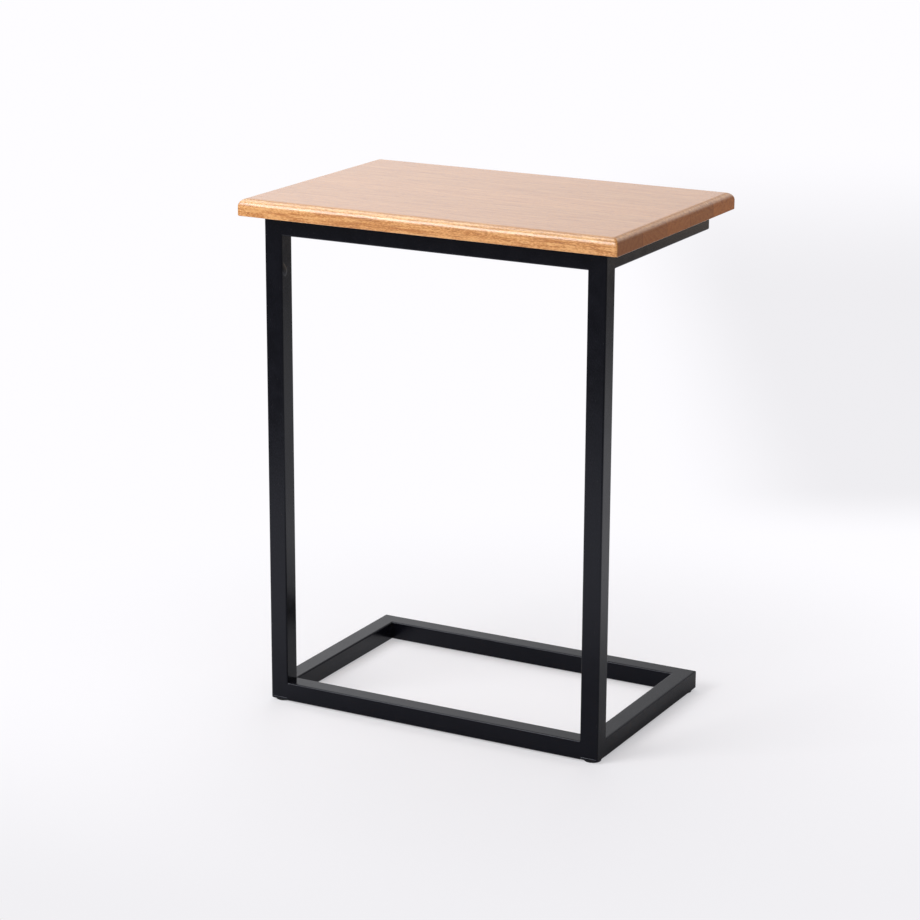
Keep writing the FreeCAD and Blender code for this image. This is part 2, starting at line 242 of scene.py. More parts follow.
for level, tube in (("base", "base_front_tube"), ("top", "top_front_rail")):
    low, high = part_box(tube)
    shape = bmesh.new()
    for side, outward in (("left", Vector((-1, 0, 0))), ("right", Vector((1, 0, 0)))):
        post_low, post_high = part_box(f"{side}_upright")
        inner_x, outer_x = sorted((post_low.x, post_high.x), key=abs)
        backwards = Vector((0, 1, 0))
        for corner, along, inward in (
                (Vector((inner_x, post_low.y, 0)), outward, backwards),
                (Vector((inner_x, post_high.y, 0)), outward, -backwards),
                (Vector((outer_x, post_high.y, 0)), -backwards, -outward)):
            add_weld(shape, corner, along, inward, (low.z + high.z) / 2, (high.z - low.z) / 2)
    finish_piece(f"{level}_ground_welds", mesh_from(f"{level}_ground_welds", shape),
                 "black_coating", f"{level}_flush_welds", finish=coat)


# ------------------------------------------------------------------ end plates
# A thick square plate is welded over the open lower end of each upright, so that a foot pad has
# something to stick to. Its rim is ground round to carry on the tube's own corners.
SAME_POINT = 1e-6

for side in ("left", "right"):
    node = f"{side}_upright_end_plate"
    shape = bmesh.new()
    shape.from_mesh(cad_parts[node].data)
    bmesh.ops.remove_doubles(shape, verts=shape.verts, dist=SAME_POINT)
    finish_piece(f"{side}_ground_end_plate", mesh_from(f"{side}_ground_end_plate", shape),
                 "black_coating", node, finish=coat)


# ------------------------------------------------------------------ run in the coating
# A drop of the powder coat ran down the inner face of the left upright before it set. It is a
# thin teardrop skin, round below and drawn out above towards the upright's front edge.
RUN_LOW, RUN_HIGH = 0.5750, 0.5950
RUN_HALF_WIDTH, RUN_THICKNESS, RUN_SUNK = 0.0060, 0.0006, 0.0001
RUN_FROM_FRONT, RUN_LEAN, RUN_BULB = 0.0070, 0.0048, 0.70
RUN_STATIONS, RUN_FIRST_STATION, RUN_STEPS = 24, 0.2, 16


def run_ring(share, face, front):
    """The outline of the run at a share of its height, flat on the upright's inner face."""
    swell = math.sin(math.pi * share ** RUN_BULB)
    middle = front + RUN_FROM_FRONT - RUN_LEAN * share ** 2
    ring = [(face - RUN_SUNK, middle + side * RUN_HALF_WIDTH * swell) for side in (-1, 1)]
    for step in range(RUN_STEPS + 1):
        turn = math.pi * step / RUN_STEPS
        ring.append((face + RUN_THICKNESS * swell * math.sin(turn),
                     middle + RUN_HALF_WIDTH * swell * math.cos(turn)))
    return [(x, y, RUN_LOW + (RUN_HIGH - RUN_LOW) * share) for x, y in ring]


post_low, post_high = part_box("left_upright")
shape = bmesh.new()
stack_rings(shape, [run_ring((station + RUN_FIRST_STATION) / RUN_STATIONS, post_high.x, post_low.y)
                    for station in range(RUN_STATIONS)])
finish_piece("coating_run", mesh_from("coating_run", shape), "black_coating", finish=coat)


# ------------------------------------------------------------------ foot pads
# Round pads of matt black rubber, 2 mm thick, stuck under the four corners of the base. Each is
# moulded with an eased rim and a shallow ring groove in its tread.
PAD_NODES = ("front_left_foot_pad", "front_right_foot_pad", "back_left_foot_pad",
             "back_right_foot_pad")
PAD_EASE, PAD_EASE_STEPS = 0.0005, 4
PAD_TOP_EASE, PAD_TOP_EASE_STEPS = 0.00025, 3
GROOVE_RADIUS, GROOVE_HALF_WIDTH, GROOVE_DEPTH = 0.0065, 0.0008, 0.0006
TURNED_STEPS = 48
RUBBER_BLACK = (0.008, 0.008, 0.008, 1)
RUBBER_DUSTY = (0.022, 0.022, 0.021, 1)
RUBBER_ROUGHNESS = (0.65, 0.85)
RUBBER_GRAINS_PER_METRE, RUBBER_GRAIN_HEIGHT = 2200, 0.0001
RUBBER_DUST_PER_METRE = 260


def rubber():
    """Matt black rubber: a slightly grainy skin, dustier in patches."""
    finish, tree, shader = start_finish("foot_rubber")
    place = object_place(tree)
    grain = noise(tree, place, RUBBER_GRAINS_PER_METRE, detail=3, roughness=0.6)
    dust = noise(tree, place, RUBBER_DUST_PER_METRE, detail=4, roughness=0.6)
    plug_in(tree, shader.inputs["Base Color"],
            ramp(tree, dust, (0.35, RUBBER_BLACK), (0.8, RUBBER_DUSTY)))
    plug_in(tree, shader.inputs["Roughness"], ease(tree, dust, *NOISE_RANGE, *RUBBER_ROUGHNESS))
    plug_in(tree, shader.inputs["Normal"],
            add_node(tree, "Bump", Height=grain, Strength=0.4, Distance=RUBBER_GRAIN_HEIGHT))
    return finish


def quarter(steps):
    """The angles of a quarter turn in that many steps."""
    return [math.pi / 2 * step / steps for step in range(steps + 1)]


def turned(outline):
    """A closed bmesh turned about Z from an outline of (radius, height), rim by rim.

    An outline that starts and ends off the axis is closed into a ring.
    """
    shape = bmesh.new()
    rims = []
    for radius, height in outline:
        if radius == 0:
            rims.append([shape.verts.new((0, 0, height))] * TURNED_STEPS)
        else:
            turns = [math.tau * step / TURNED_STEPS for step in range(TURNED_STEPS)]
            rims.append([shape.verts.new((radius * math.cos(turn), radius * math.sin(turn), height))
                         for turn in turns])
    pairs = list(zip(rims, rims[1:]))
    if outline[0][0] > 0:
        pairs.append((rims[-1], rims[0]))
    for low, high in pairs:
        for step in range(TURNED_STEPS):
            after = (step + 1) % TURNED_STEPS
            corners = dict.fromkeys((low[step], low[after], high[after], high[step]))
            shape.faces.new(list(corners))
    return shape


def start_tree(name, *names_and_kinds):
    """A Geometry Nodes tree with its group input and output, and inputs by name and kind."""
    tree = bpy.data.node_groups.new(name, "GeometryNodeTree")
    tree.interface.new_socket("Geometry", in_out="INPUT", socket_type="NodeSocketGeometry")
    for label, kind in names_and_kinds:
        tree.interface.new_socket(label, in_out="INPUT", socket_type=f"NodeSocket{kind}")
    tree.interface.new_socket("Geometry", in_out="OUTPUT", socket_type="NodeSocketGeometry")
    return tree, tree.nodes.new("NodeGroupInput").outputs, tree.nodes.new("NodeGroupOutput")


def end_tree(tree, result, geometry, finish):
    """End a tree with Set Material, which gives the whole geometry one finish."""
    finished = add_node(tree, "SetMaterial", geometry, Material=finish)
    plug_in(tree, result.inputs["Geometry"], finished)
    return tree


def grow(name, tree, base, **values):
    """The plain mesh that a tree makes of a base mesh with its inputs set by name."""
    source = bpy.data.objects.new(name, base)
    bpy.context.scene.collection.objects.link(source)
    modifier = source.modifiers.new(tree.name, "NODES")
    modifier.node_group = tree
    sockets = {item.name: item.identifier for item in tree.interface.items_tree
               if item.in_out == "INPUT"}
    for label, value in values.items():
        modifier[sockets[label.replace("_", " ")]] = value
    evaluated = source.evaluated_get(bpy.context.evaluated_depsgraph_get())
    mesh = bpy.data.meshes.new_from_object(evaluated)
    source.modifiers.clear()
    bpy.data.objects.remove(source)
    mesh.name = name
    return mesh


def mesh_of_points(name, points):
    """A mesh of loose points, for a tree to set something at."""
    marks = bpy.data.meshes.new(name)
    marks.from_pydata(points, [], [])
    return marks


def pattern_object(name, mesh):
    """A helper object that lets a tree read a mesh."""
    pattern = bpy.data.objects.new(name, mesh)
    bpy.context.scene.collection.objects.link(pattern)
    return pattern


def copies_tree():
    """Copies of a pattern object at the points of the base, each turned at random about Z."""
    tree, given, result = start_tree("copies_at_points", ("Pattern", "Object"),
                                     ("Most Turn", "Float"), ("Seed", "Int"),
                                     ("Finish", "Material"))
    pattern = add_node(tree, "ObjectInfo", given["Pattern"])
    turn = add_node(tree, "RandomValue", 0.0, given["Most Turn"], Seed=given["Seed"])
    lean = add_node(tree, "CombineXYZ", Z=turn)
    set_out = add_node(tree, "InstanceOnPoints", Points=given["Geometry"],
                       Instance=pattern.outputs["Geometry"], Rotation=lean)
    return end_tree(tree, result, add_node(tree, "RealizeInstances", set_out), given["Finish"])


def copies(name, pattern_mesh, points, seed, finish):
    """One plain mesh with a copy of the pattern mesh at each point, turned at random."""
    pattern = pattern_object(f"{name}_pattern", pattern_mesh)
    mesh = grow(name, copies_maker, mesh_of_points(f"{name}_points", points), Pattern=pattern,
                Most_Turn=math.tau, Seed=seed, Finish=finish)
    bpy.data.objects.remove(pattern)
    return mesh


copies_maker = copies_tree()
foot_rubber = rubber()
pad_low, pad_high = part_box(PAD_NODES[0])
pad_radius, pad_top = (pad_high.x - pad_low.x) / 2, pad_high.z
groove = [(GROOVE_RADIUS - GROOVE_HALF_WIDTH, 0),
          (GROOVE_RADIUS - GROOVE_HALF_WIDTH / 2, GROOVE_DEPTH),
          (GROOVE_RADIUS + GROOVE_HALF_WIDTH / 2, GROOVE_DEPTH),
          (GROOVE_RADIUS + GROOVE_HALF_WIDTH, 0)]
rim = [(pad_radius - PAD_EASE * (1 - math.sin(turn)), PAD_EASE * (1 - math.cos(turn)))
       for turn in quarter(PAD_EASE_STEPS)]
crown = [(pad_radius - PAD_TOP_EASE * (1 - math.cos(turn)),
          pad_top - PAD_TOP_EASE * (1 - math.sin(turn))) for turn in quarter(PAD_TOP_EASE_STEPS)]
pad_mesh = mesh_from("foot_pad", turned([(0, 0), *groove, *rim, *crown, (0, pad_top)]))
for seed, node in enumerate(PAD_NODES):
    low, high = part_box(node)
    middle = ((low.x + high.x) / 2, (low.y + high.y) / 2, 0)
    finish_piece(node.replace("_pad", "_rubber"),
                 copies(node, pad_mesh, [middle], seed, foot_rubber), "foot_rubber", node)


# ------------------------------------------------------------------ board of five staves
# Five staves of a golden open-pored hardwood, glued edge to edge. The board's top edges are
# routed to a quarter round, its corners and lower arris are eased by hand, the screw holes are
# drilled from below, and clear satin lacquer is sprayed over the whole of it.
STAVES = {
    # name: (tone, tone of its end grain, which rises from front to back, slope of the grain in
    # degrees, place in the tree)
    "front_stave": (1.00, 0.84, 0.5, (0.31, 0.095, -0.612)),
    "front_middle_stave": (0.98, 0.97, -0.9, (1.74, 0.020, -0.741)),
    "middle_stave": (1.03, 1.03, 0.8, (2.93, -0.062, -0.585)),
    "back_middle_stave": (0.99, 0.98, 1.6, (4.22, -0.130, -0.706)),
    "back_stave": (1.02, 1.18, -0.6, (5.51, -0.055, -0.800)),
}
ROUNDOVER, ARRIS, CORNER_EASE = 0.010, 0.001, 0.0025
HOLD = 0.0015  # a loop this far past a rounding keeps the shading of the flat face flat
ROUND_STEPS, ARRIS_STEPS, CORNER_STEPS = 14, 4, 5
SCREW_HEAD, SCREW_SPACING, SCREW_DIAMETER, HOLE_DEPTH = 0.0085, 0.300, 0.0045, 0.0145
DRILL_SIDES = 32

DARK_WOOD = (0.47, 0.175, 0.036, 1)
GOLDEN_WOOD = (0.65, 0.288, 0.080, 1)
PALE_WOOD = (0.80, 0.420, 0.150, 1)
DARK_AT, GOLDEN_AT, PALE_AT = 0.595, 0.675, 0.755
# Planed faces and end grain show less contrast than the sides: half of their colour is even.
EVEN_WOOD = (0.72, 0.295, 0.090, 1)
EVEN_SHARE = 0.5
# Tints that multiply the wood's colour: on the routed round a painted highlight tone, paler and
# yellower; in pores, on end grain, in glue.
PAINTED_HIGHLIGHT_TINT = (0.95, 1.035, 1.10, 1)
PORE_TINT = (0.58, 0.45, 0.34, 1)
END_TINT = (0.51, 0.37, 0.25)
GLUE_TINT = (0.55, 0.45, 0.38, 1)

# The fibres bend slowly along the grain: stretch, bends per metre, and reach in metres.
SLOW_BEND, BENDS_PER_METRE, BEND_REACH = (0.12, 1, 1), 22, (0, 0.016, 0.016)
RING_SCALE, RING_WANDER = 36, 2.5
# Cells per metre along and across the grain.
STREAK_CELLS = (16, 330, 330)
FIGURE_CELLS = (16, 95, 95)
FLECK_CELLS = (260, 1000, 1000)
PORE_CELLS = (50, 720, 720)
# How much each of them adds to the wood's light and dark. Rings show more on end grain.
STREAK_WEIGHT, FIGURE_WEIGHT, FLECK_WEIGHT = 0.58, 0.14, 0.60
RING_WEIGHT, RING_WEIGHT_ON_ENDS = 0.03, 0.13

# The size of a normal's part along an axis where a surface starts to count as facing that way.
END_FACING, FLAT_FACING, SOAKED_FACING = (0.50, 0.98), (0.90, 0.99), (0.72, 0.98)
ROUND_RISE, ROUND_TOP, ROUND_END = (0.20, 0.60), (0.985, 0.999), (0.1, 0.4)
PORE_EDGE, PORE_STREAKS, LEAST_PORES = (0.12, 0.30), (0.42, 0.60), 0.25
GLUE_HALF_WIDTH, GLUE_ON_FACES, GLUE_ON_ENDS_TOO = 0.00025, 0.2, 0.7

# The lacquer lies as a clear coat. End grain drinks it, and stays rougher with less coat.
SATIN, SOAKED_ROUGHNESS, WOOD_SPECULAR = (0.32, 0.44), 0.35, 0.6
FULL_COAT, SOAKED_COAT, COAT_ROUGHNESS = 1.0, 0.2, 0.19
GRAIN_DEPTH, LACQUER_WAVE = 0.00015, 0.0003


def tinted(tree, color, amount, tint):
    """A colour multiplied by a tint, as far as an amount from 0 to 1."""
    return add_node(tree, "Mix", amount, color, tint, data_type="RGBA", blend_type="MULTIPLY")


def stretched(tree, place, factors):
    """A place with each axis scaled by its own factor."""
    return add_node(tree, "VectorMath", place, factors, operation="MULTIPLY")


def cell_noise(tree, place, cells, detail, roughness):
    """Noise with its own number of cells per metre along each axis."""
    return noise(tree, stretched(tree, place, cells), 1, detail, roughness)


def fibre_place(tree, place, slope, offset):
    """The place in the tree that a stave was cut from, with slow bends in its fibres."""
    timber = add_node(tree, "Mapping", place, offset, (0, 0, math.radians(slope)))
    bend = noise(tree, stretched(tree, timber, SLOW_BEND), BENDS_PER_METRE, detail=3,
                 roughness=0.5)
    centred = add_node(tree, "VectorMath", bend.outputs["Color"], (0.5, 0.5, 0.5),
                       operation="SUBTRACT")
    sway = stretched(tree, centred, BEND_REACH)
    return add_node(tree, "VectorMath", timber, sway, operation="ADD")


def painted_highlight_mask(tree, rise, endwise):
    """1 on the rounds along the board's front and back, 0 on flat faces and at the ends: where the
    painted highlight tone goes.
    """
    rising = ease(tree, rise, *ROUND_RISE)
    short_of_top = ease(tree, rise, *ROUND_TOP, 1, 0)
    away_from_end = ease(tree, endwise, *ROUND_END, 1, 0)
    return calculate(tree, "MULTIPLY", calculate(tree, "MULTIPLY", rising, short_of_top),
                     away_from_end)


def glue_mask(tree, place, edges, ends):
    """Thin lines where a stave meets its neighbours, clearer on the end grain."""
    across = add_node(tree, "SeparateXYZ", place).outputs["Y"]
    low_gap, high_gap = (calculate(tree, "ABSOLUTE", calculate(tree, "SUBTRACT", across, edge))
                         for edge in edges)
    gap = calculate(tree, "MINIMUM", low_gap, high_gap)
    joint = ease(tree, gap, GLUE_HALF_WIDTH, 3 * GLUE_HALF_WIDTH, 1, 0)
    seen = calculate(tree, "MULTIPLY_ADD", ends, GLUE_ON_ENDS_TOO, GLUE_ON_FACES)
    return calculate(tree, "MULTIPLY", joint, seen)


def grain_color(tree, fibres, streaks, flecks, ends, flat):
    """The bare wood's colour from its rings, streaks, figure and flecks."""
    rings = add_node(tree, "TexWave", Vector=fibres, Scale=RING_SCALE, Distortion=RING_WANDER,
                     Detail=3, Detail_Scale=0.25, Detail_Roughness=0.6, wave_type="RINGS",
                     rings_direction="X", wave_profile="SAW")
    ring_weight = ease(tree, ends, 0, 1, RING_WEIGHT, RING_WEIGHT_ON_ENDS)
    figure = cell_noise(tree, fibres, FIGURE_CELLS, detail=4, roughness=0.6)
    light = calculate(tree, "MULTIPLY", streaks, STREAK_WEIGHT)
    light = calculate(tree, "MULTIPLY_ADD", figure, FIGURE_WEIGHT, light)
    light = calculate(tree, "MULTIPLY_ADD", rings, ring_weight, light)
    light = calculate(tree, "MULTIPLY_ADD", flecks, FLECK_WEIGHT, light)
    color = ramp(tree, light, (DARK_AT, DARK_WOOD), (GOLDEN_AT, GOLDEN_WOOD), (PALE_AT, PALE_WOOD))
    even = calculate(tree, "MULTIPLY", calculate(tree, "MAXIMUM", ends, flat), EVEN_SHARE)
    return add_node(tree, "Mix", even, color, EVEN_WOOD, data_type="RGBA")


def open_pores(tree, fibres, streaks):
    """1 in the open pores, which are fainter in the pale streaks."""
    pores = add_node(tree, "TexVoronoi", Vector=stretched(tree, fibres, PORE_CELLS), Scale=1)
    vessel = ease(tree, pores.outputs["Distance"], *PORE_EDGE, 1, 0)
    return calculate(tree, "MULTIPLY", vessel, ease(tree, streaks, *PORE_STREAKS, 1.0, LEAST_PORES))


def spray_lacquer(tree, shader, endwise, pore, streaks, flecks):
    """Clear satin lacquer over the wood's grain, with a slight orange peel."""
    soaked = ease(tree, endwise, *SOAKED_FACING)
    satin = ease(tree, flecks, *NOISE_RANGE, *SATIN)
    plug_in(tree, shader.inputs["Roughness"],
            calculate(tree, "MULTIPLY_ADD", soaked, SOAKED_ROUGHNESS, satin))
    shader.inputs["Specular IOR Level"].default_value = WOOD_SPECULAR
    relief = calculate(tree, "MULTIPLY_ADD", pore, -1.0, flecks)
    plug_in(tree, shader.inputs["Normal"],
            add_node(tree, "Bump", Height=relief, Strength=0.35, Distance=GRAIN_DEPTH))
    filled = calculate(tree, "MULTIPLY_ADD", pore, -0.6, streaks)
    plug_in(tree, shader.inputs["Coat Normal"],
            add_node(tree, "Bump", Height=filled, Strength=0.10, Distance=LACQUER_WAVE))
    plug_in(tree, shader.inputs["Coat Weight"],
            ease(tree, soaked, 0, 1, FULL_COAT, SOAKED_COAT))
    shader.inputs["Coat Roughness"].default_value = COAT_ROUGHNESS


def lacquered_wood(name, tone, end_tone, slope, offset, edges):
    """Golden hardwood cut from a tree along X: growth rings, fibres, open pores, end grain."""
    finish, tree, shader = start_finish(f"lacquered_{name}")
    coordinates = add_node(tree, "TexCoord")
    place = coordinates.outputs["Object"]
    fibres = fibre_place(tree, place, slope, offset)
    streaks = cell_noise(tree, fibres, STREAK_CELLS, detail=5, roughness=0.62)
    flecks = cell_noise(tree, fibres, FLECK_CELLS, detail=2, roughness=0.6)
    facing = add_node(tree, "SeparateXYZ", coordinates.outputs["Normal"])
    endwise = calculate(tree, "ABSOLUTE", facing.outputs["X"])
    upright = calculate(tree, "ABSOLUTE", facing.outputs["Z"])
    ends = ease(tree, endwise, *END_FACING)
    flat = ease(tree, upright, *FLAT_FACING)

    pore = open_pores(tree, fibres, streaks)
    color = grain_color(tree, fibres, streaks, flecks, ends, flat)
    color = tinted(tree, color, pore, PORE_TINT)
    color = tinted(tree, color, ends, [channel * end_tone for channel in END_TINT] + [1])
    # Painted highlight: the rounds are tinted paler and yellower, the tone of the lamp's highlight
    # there.
    color = tinted(tree, color, painted_highlight_mask(tree, facing.outputs["Z"], endwise), PAINTED_HIGHLIGHT_TINT)
    color = tinted(tree, color, glue_mask(tree, place, edges, ends), GLUE_TINT)
    color = tinted(tree, color, 1.0, (tone, tone, tone, 1))
    plug_in(tree, shader.inputs["Base Color"], color)
    spray_lacquer(tree, shader, endwise, pore, streaks, flecks)
    return finish


def board_edge(bottom, top):
    """The (inset, height) points up the board's edge: underside, arris, face, round, top."""
    points = [(ARRIS + HOLD, bottom)]
    for turn in quarter(ARRIS_STEPS):
        points.append((ARRIS * (1 - math.sin(turn)), bottom + ARRIS * (1 - math.cos(turn))))
    points += [(0, bottom + ARRIS + HOLD), (0, top - ROUNDOVER - HOLD)]
    for turn in quarter(ROUND_STEPS):
        points.append((ROUNDOVER * (1 - math.cos(turn)), top - ROUNDOVER * (1 - math.sin(turn))))
    points.append((ROUNDOVER + HOLD, top))
    return points


def eased_corner(x, y, side, inward, start):
    """The points round one eased corner of the board, with a holding point on each side."""
    centre_x, centre_y = x - side * CORNER_EASE, y + inward * CORNER_EASE
    arc = [math.radians(start) + turn for turn in quarter(CORNER_STEPS)]
    points = [(centre_x + CORNER_EASE * math.cos(turn), centre_y + CORNER_EASE * math.sin(turn))
              for turn in arc]
    before = (points[0][0] + HOLD * math.sin(arc[0]), points[0][1] - HOLD * math.cos(arc[0]))
    after = (points[-1][0] - HOLD * math.sin(arc[-1]), points[-1][1] + HOLD * math.cos(arc[-1]))
    return [before, *points, after]


def stave_ring(low, high, inset, height, routed):
    """A stave's outline at one height. A routed side is the board's own front or back edge."""
    front, back = low.y + inset * routed[0], high.y - inset * routed[1]
    ring = []
    for side, y, is_eased, inward, start in (
            (-1, front, routed[0], 1, 180), (1, front, routed[0], 1, 270),
            (1, back, routed[1], -1, 0), (-1, back, routed[1], -1, 90)):
        x = side * (high.x - inset)
        ring += eased_corner(x, y, side, inward, start) if is_eased else [(x, y)]
    return [(x, y, height) for x, y in ring]


def drill_tree():
    """Round holes drilled up from the underside of the base, at the points of a pattern."""
    tree, given, result = start_tree("drilled_from_below", ("Points", "Object"),
                                     ("Radius", "Float"), ("Depth", "Float"),
                                     ("Finish", "Material"))
    points = add_node(tree, "ObjectInfo", given["Points"])
    twice = calculate(tree, "MULTIPLY", given["Depth"], 2.0)
    bit = add_node(tree, "MeshCylinder", Vertices=DRILL_SIDES, Radius=given["Radius"],
                   Depth=twice)
    bits = add_node(tree, "InstanceOnPoints", Points=points.outputs["Geometry"],
                    Instance=bit.outputs["Mesh"])
    drilled = add_node(tree, "MeshBoolean", operation="DIFFERENCE", solver="EXACT",
                       Mesh_1=given["Geometry"], Mesh_2=add_node(tree, "RealizeInstances", bits))
    return end_tree(tree, result, drilled.outputs["Mesh"], given["Finish"])


drill = drill_tree()
screws_low, screws_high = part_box("board_screws")
rail_x, rail_y = screws_high.x - SCREW_HEAD / 2, screws_high.y - SCREW_HEAD / 2
next_low, next_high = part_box("front_middle_stave")
stave_y = (next_low.y + next_high.y) / 2
screw_places = [(side * x, edge * y) for x, y in ((SCREW_SPACING / 2, rail_y), (rail_x, stave_y))
                for side in (-1, 1) for edge in (-1, 1)]
board_front, board_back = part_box("front_stave")[0].y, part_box("back_stave")[1].y
for name, (tone, end_tone, slope, offset) in STAVES.items():
    low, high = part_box(name)
    routed = (low.y < board_front + ARRIS, high.y > board_back - ARRIS)
    shape = bmesh.new()
    stack_rings(shape, [stave_ring(low, high, inset, height, routed)
                        for inset, height in board_edge(low.z, high.z)])
    bmesh.ops.dissolve_degenerate(shape, dist=SAME_POINT, edges=shape.edges)
    stave = mesh_from(name, shape)
    finish = lacquered_wood(name, tone, end_tone, slope, offset, (low.y, high.y))
    holes = [(x, y, low.z) for x, y in screw_places if low.y < y < high.y]
    if holes:
        pattern = pattern_object(f"{name}_holes", mesh_of_points(f"{name}_hole_points", holes))
        stave = grow(name, drill, stave, Points=pattern, Radius=SCREW_DIAMETER / 2,
                     Depth=HOLE_DEPTH, Finish=finish)
        bpy.data.objects.remove(pattern)
    finish_piece(f"lacquered_{name}", stave, "board_wood", name, finish=finish)


# ------------------------------------------------------------------ screws and washers
# Bright zinc-plated pan-head wood screws with a cross recess, each on a flat stamped washer. They
# are driven up through the rails' wide lower holes into the board.
HEAD_HEIGHT, SHANK_LENGTH, TIP_LENGTH = 0.003, 0.016, 0.003
DOME, DOME_STEPS = 0.0015, 5
CORE_RADIUS, THREAD_DEPTH, THREAD_PITCH, THREAD_START = 0.0015, 0.00072, 0.0018, 0.005
THREAD_STEPS, THREAD_SIDES = 20, 3
RECESS_WIDTH, RECESS_SPAN, RECESS_DEPTH = 0.0009, 0.0046, 0.0016
WASHER_RADIUS, WASHER_BORE, WASHER_EASE = 0.005, 0.0025, 0.0002
SCREW_SEED, WASHER_SEED = 11, 12
ZINC_GREY = (0.50, 0.51, 0.53, 1)
ZINC_PALE = (0.66, 0.67, 0.70, 1)
ZINC_ROUGHNESS = (0.25, 0.42)
FROST_PER_METRE = 900
SCRATCH_CELLS, SCRATCH_DEPTH = (300, 4000, 900), 0.00005


def zinc_plate():
    """Bright zinc plate: a pale bluish metal with a slight frosting and brushed scratches."""
    finish, tree, shader = start_finish("zinc_plate")
    place = object_place(tree)
    frost = noise(tree, place, FROST_PER_METRE, detail=4, roughness=0.6)
    scratches = cell_noise(tree, place, SCRATCH_CELLS, detail=3, roughness=0.5)
    plug_in(tree, shader.inputs["Base Color"],
            ramp(tree, frost, *zip(NOISE_RANGE, (ZINC_GREY, ZINC_PALE))))
    plug_in(tree, shader.inputs["Roughness"], ease(tree, frost, *NOISE_RANGE, *ZINC_ROUGHNESS))
    plug_in(tree, shader.inputs["Normal"],
            add_node(tree, "Bump", Height=scratches, Strength=0.15, Distance=SCRATCH_DEPTH))
    shader.inputs["Metallic"].default_value = 1
    return finish


def threaded_tree():
    """A turned screw blank with a thread wound on its shank and a cross sunk in its head."""
    tree, given, result = start_tree("threaded_screw", ("Core Radius", "Float"),
                                     ("Thread Depth", "Float"), ("Pitch", "Float"),
                                     ("Start", "Float"), ("Length", "Float"),
                                     ("Recess Width", "Float"), ("Recess Span", "Float"),
                                     ("Recess Depth", "Float"), ("Head Height", "Float"),
                                     ("Finish", "Material"))
    turns = calculate(tree, "DIVIDE", given["Length"], given["Pitch"])
    coil = add_node(tree, "CurveSpiral", Resolution=THREAD_STEPS, Rotations=turns,
                    Start_Radius=given["Core Radius"], End_Radius=given["Core Radius"],
                    Height=given["Length"])
    ridge = add_node(tree, "CurvePrimitiveCircle", Resolution=THREAD_SIDES,
                     Radius=given["Thread Depth"])
    thread = add_node(tree, "CurveToMesh", Curve=coil, Profile_Curve=ridge.outputs["Curve"],
                      Fill_Caps=True)
    raised = add_node(tree, "Transform", thread,
                      Translation=add_node(tree, "CombineXYZ", Z=given["Start"]))
    sunk = add_node(tree, "CombineXYZ",
                    Z=calculate(tree, "MULTIPLY", given["Head Height"], -1.0))
    twice = calculate(tree, "MULTIPLY", given["Recess Depth"], 2.0)
    headed = add_node(tree, "MeshBoolean", operation="DIFFERENCE", solver="EXACT",
                      Mesh_1=given["Geometry"])
    for span, width in (("X", "Y"), ("Y", "X")):
        sizes = {span: given["Recess Span"], width: given["Recess Width"], "Z": twice}
        slot = add_node(tree, "MeshCube", add_node(tree, "CombineXYZ", **sizes))
        plug_in(tree, headed.inputs["Mesh 2"],
                add_node(tree, "Transform", slot.outputs["Mesh"], Translation=sunk))
    joined = add_node(tree, "JoinGeometry")
    plug_in(tree, joined.inputs["Geometry"], headed.outputs["Mesh"])
    plug_in(tree, joined.inputs["Geometry"], add_node(tree, "RealizeInstances", raised))
    return end_tree(tree, result, joined, given["Finish"])


zinc = zinc_plate()
dome = [(SCREW_HEAD / 2 - DOME * (1 - math.sin(turn)), DOME * (1 - math.cos(turn)) - HEAD_HEIGHT)
        for turn in quarter(DOME_STEPS)]
screw_blank = mesh_from("screw_blank", turned([
    (0, -HEAD_HEIGHT), *dome, (SCREW_HEAD / 2, 0), (SCREW_DIAMETER / 2, 0),
    (SCREW_DIAMETER / 2, THREAD_START), (CORE_RADIUS, THREAD_START + THREAD_DEPTH),
    (CORE_RADIUS, SHANK_LENGTH - TIP_LENGTH), (0, SHANK_LENGTH)]))
screw_mesh = grow("screw", threaded_tree(), screw_blank, Core_Radius=CORE_RADIUS,
                  Thread_Depth=THREAD_DEPTH, Pitch=THREAD_PITCH, Start=THREAD_START,
                  Length=SHANK_LENGTH - TIP_LENGTH - THREAD_START, Recess_Width=RECESS_WIDTH,
                  Recess_Span=RECESS_SPAN, Recess_Depth=RECESS_DEPTH, Head_Height=HEAD_HEIGHT,
                  Finish=zinc)
screw_points = [(x, y, screws_low.z + HEAD_HEIGHT) for x, y in screw_places]
finish_piece("pan_head_screws",
             copies("pan_head_screws", screw_mesh, screw_points, SCREW_SEED, zinc),
             "zinc_steel", "board_screws")

washer_low, washer_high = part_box("screw_washers")
thickness = washer_high.z - washer_low.z
washer_mesh = mesh_from("flat_washer", turned([
    (WASHER_BORE, 0), (WASHER_RADIUS - WASHER_EASE, 0), (WASHER_RADIUS, WASHER_EASE),
    (WASHER_RADIUS, thickness - WASHER_EASE), (WASHER_RADIUS - WASHER_EASE, thickness),
    (WASHER_BORE + WASHER_EASE, thickness), (WASHER_BORE, thickness - WASHER_EASE)]))
washer_points = [(x, y, washer_low.z) for x, y in screw_places]
finish_piece("flat_washers",
             copies("flat_washers", washer_mesh, washer_points, WASHER_SEED, zinc),
             "zinc_steel", "screw_washers")


# ------------------------------------------------------------------ camera
# A long lens at the front right, a little above the board, that looks slightly down at the whole
# table. It is rolled by a quarter of a degree.
AZIMUTH, ELEVATION, ROLL = math.radians(28.24), math.radians(15.85), math.radians(0.25)
AIM = Vector((-0.0392, 0, 0.3205))
DISTANCE = 3.635
FOCAL_PIXELS, IMAGE_PIXELS, SENSOR_WIDTH = 2766.8, 920, 36.0

